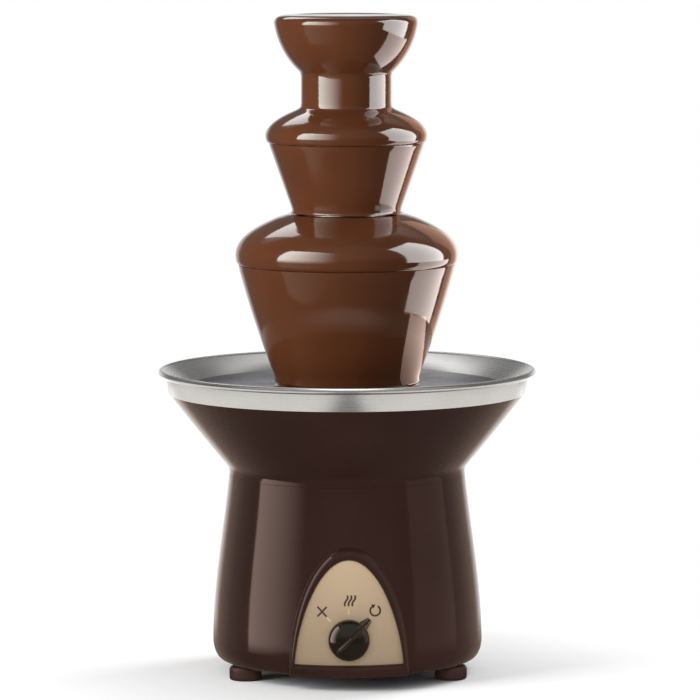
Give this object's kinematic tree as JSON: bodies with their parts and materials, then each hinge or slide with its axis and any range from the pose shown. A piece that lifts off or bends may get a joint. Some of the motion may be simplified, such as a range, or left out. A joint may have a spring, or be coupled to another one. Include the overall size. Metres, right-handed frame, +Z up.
{
  "type": "chocolate fountain",
  "caption": "Domed tower coated in flowing chocolate over a heated steel bowl, on a flared drum base with a curved control panel and round knob; an auger lifts the chocolate.",
  "frame": {"origin": "on the ground under the tower's axis", "axes": "+Z up along the tower's axis, -Y towards the control panel, +X to the right seen from the front"},
  "size_m": [0.2752, 0.2752, 0.48],
  "materials": {
    "brown_plastic": "glossy dark brown moulding",
    "dark_plastic": "glossy black-brown moulding",
    "foot_plastic": "satin",
    "panel_gold": "satin champagne lacquer",
    "bowl_steel": "spun and brushed round the axis",
    "tower_steel": "polished",
    "plated_steel": "zinc plated",
    "cast_alloy": "as cast",
    "bearing_bronze": "turned",
    "pale_nylon": "moulded",
    "magnet_ferrite": "sintered",
    "seal_rubber": "moulded",
    "chocolate": "wet gloss"
  },
  "bodies": {
    "base": {"base_plate": "dark_plastic", "base_screws": "plated_steel", "foot_inserts": "bearing_bronze", "lower_housing": "brown_plastic", "panel_frame": "brown_plastic", "control_panel": "panel_gold", "rotary_switch": "pale_nylon", "switch_nut": "plated_steel", "cord_gland": "dark_plastic", "gland_nut": "dark_plastic", "terminal_block": "pale_nylon", "chassis_plate": "plated_steel", "gearbox_case": "cast_alloy", "gearbox_cover": "cast_alloy", "gearbox_screws": "plated_steel", "gearbox_bushes": "bearing_bronze", "idler_pin": "plated_steel", "motor_can": "plated_steel", "motor_end_plate": "plated_steel", "motor_magnets": "magnet_ferrite", "motor_screws": "plated_steel", "funnel_housing": "brown_plastic", "rim_band": "bowl_steel", "bowl": "bowl_steel", "bowl_hub": "pale_nylon", "hub_nut": "plated_steel", "hub_bush": "bearing_bronze", "shaft_seal": "seal_rubber", "heat_spreader": "cast_alloy", "heating_element": "plated_steel", "thermostat": "pale_nylon", "thermal_fuse": "pale_nylon", "tie_studs": "plated_steel", "chocolate_pool": "chocolate"},
    "knob": {"control_knob": "dark_plastic", "switch_spindle": "plated_steel"},
    "drive": {"drive_shaft": "tower_steel", "output_gear": "pale_nylon", "auger_core": "tower_steel", "auger_flight": "tower_steel"},
    "idler": {"idler_gear": "pale_nylon"},
    "rotor": {"motor_rotor": "plated_steel", "motor_pinion": "bearing_bronze"},
    "tower": {"tower_tube": "tower_steel", "lower_tier": "tower_steel", "upper_tier": "tower_steel", "crown": "tower_steel", "crown_chocolate": "chocolate", "neck_coat": "chocolate", "upper_coat": "chocolate", "upper_curtain": "chocolate", "lower_coat": "chocolate", "lower_curtain": "chocolate"},
    "left_foot": {"foot_left": "foot_plastic"},
    "right_foot": {"foot_right": "foot_plastic"},
    "rear_foot": {"foot_rear": "foot_plastic"}
  },
  "joints": [
    {"name": "drive_spin", "type": "hinge", "parent": "base", "child": "drive", "pos_m": [0, 0, 0.192], "axis": [0, 0, 1], "continuous": true},
    {"name": "idler_spin", "type": "hinge", "parent": "base", "child": "idler", "pos_m": [0, 0.0288, 0.127], "axis": [0, 0, 1], "continuous": true},
    {"name": "rotor_spin", "type": "hinge", "parent": "base", "child": "rotor", "pos_m": [-0.02406, 0.02004, 0.092], "axis": [0, 0, 1], "continuous": true},
    {"name": "knob_turn", "type": "hinge", "parent": "base", "child": "knob", "pos_m": [0, -0.09812, 0.0376], "axis": [0, -0.9979, 0.0643], "range_deg": [0, 90]},
    {"name": "tower_lift", "type": "slide", "parent": "base", "child": "tower", "axis": [0, 0, 1], "range_m": [0, 0.28]},
    {"name": "left_foot_screw", "type": "slide", "parent": "base", "child": "left_foot", "axis": [0, 0, -1], "range_m": [0, 0.006]},
    {"name": "right_foot_screw", "type": "slide", "parent": "base", "child": "right_foot", "axis": [0, 0, -1], "range_m": [0, 0.006]},
    {"name": "rear_foot_screw", "type": "slide", "parent": "base", "child": "rear_foot", "axis": [0, 0, -1], "range_m": [0, 0.006]}
  ],
  "couplings": [
    {"joint": "idler_spin", "follows": "drive_spin", "ratio": -3},
    {"joint": "rotor_spin", "follows": "drive_spin", "ratio": 9}
  ]
}
